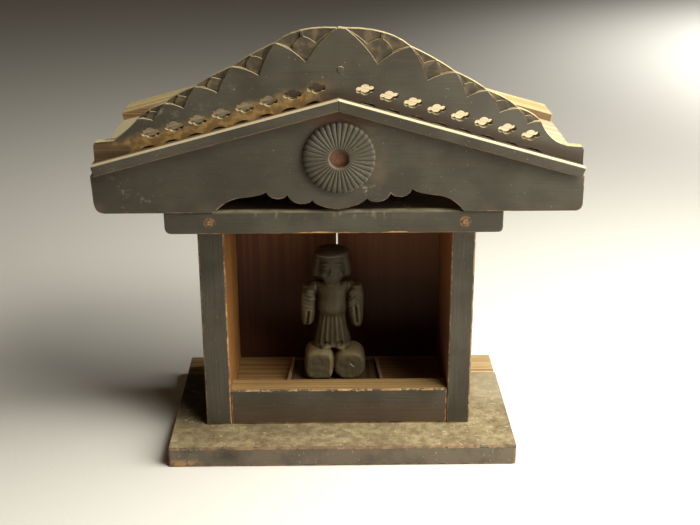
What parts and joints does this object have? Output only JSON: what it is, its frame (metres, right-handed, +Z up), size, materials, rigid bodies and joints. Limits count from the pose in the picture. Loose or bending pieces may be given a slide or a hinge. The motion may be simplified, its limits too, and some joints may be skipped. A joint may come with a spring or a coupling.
{
  "type": "wooden shrine box with carved figure",
  "caption": "Open-fronted plank shrine box with a broad gable, fluted rosette, pierced carved crest and a small carved figure standing on two bales.",
  "frame": {"origin": "centre of the whole object's footprint, on the underside of the base", "axes": "+Z up, -Y out of the open front, +X to the viewer's right when facing the front"},
  "size_m": [0.3748, 0.1852, 0.3632],
  "materials": {
    "painted_wood": "worn grey-brown stain, light wood at the edges",
    "raw_wood": "bare light wood, dry",
    "brown_wood": "reddish-brown bare wood, satin",
    "figure_wood": "dark smoked wood, satin"
  },
  "bodies": {
    "root": {"base_board": "painted_wood", "base_rear_strip": "raw_wood", "left_side": "painted_wood", "right_side": "painted_wood", "back_board_left": "brown_wood", "back_board_right": "brown_wood", "floor_board": "raw_wood", "front_sill": "painted_wood", "top_board": "painted_wood", "lintel_peg_left": "raw_wood", "lintel_peg_right": "raw_wood", "gable_board": "painted_wood", "rear_gable": "raw_wood", "rosette": "painted_wood", "roof_left": "painted_wood", "roof_right": "painted_wood", "roof_rear_left": "raw_wood", "roof_rear_right": "raw_wood", "crest": "painted_wood", "crest_peg": "painted_wood", "figure_tray": "brown_wood", "figure": "figure_wood"}
  },
  "joints": []
}
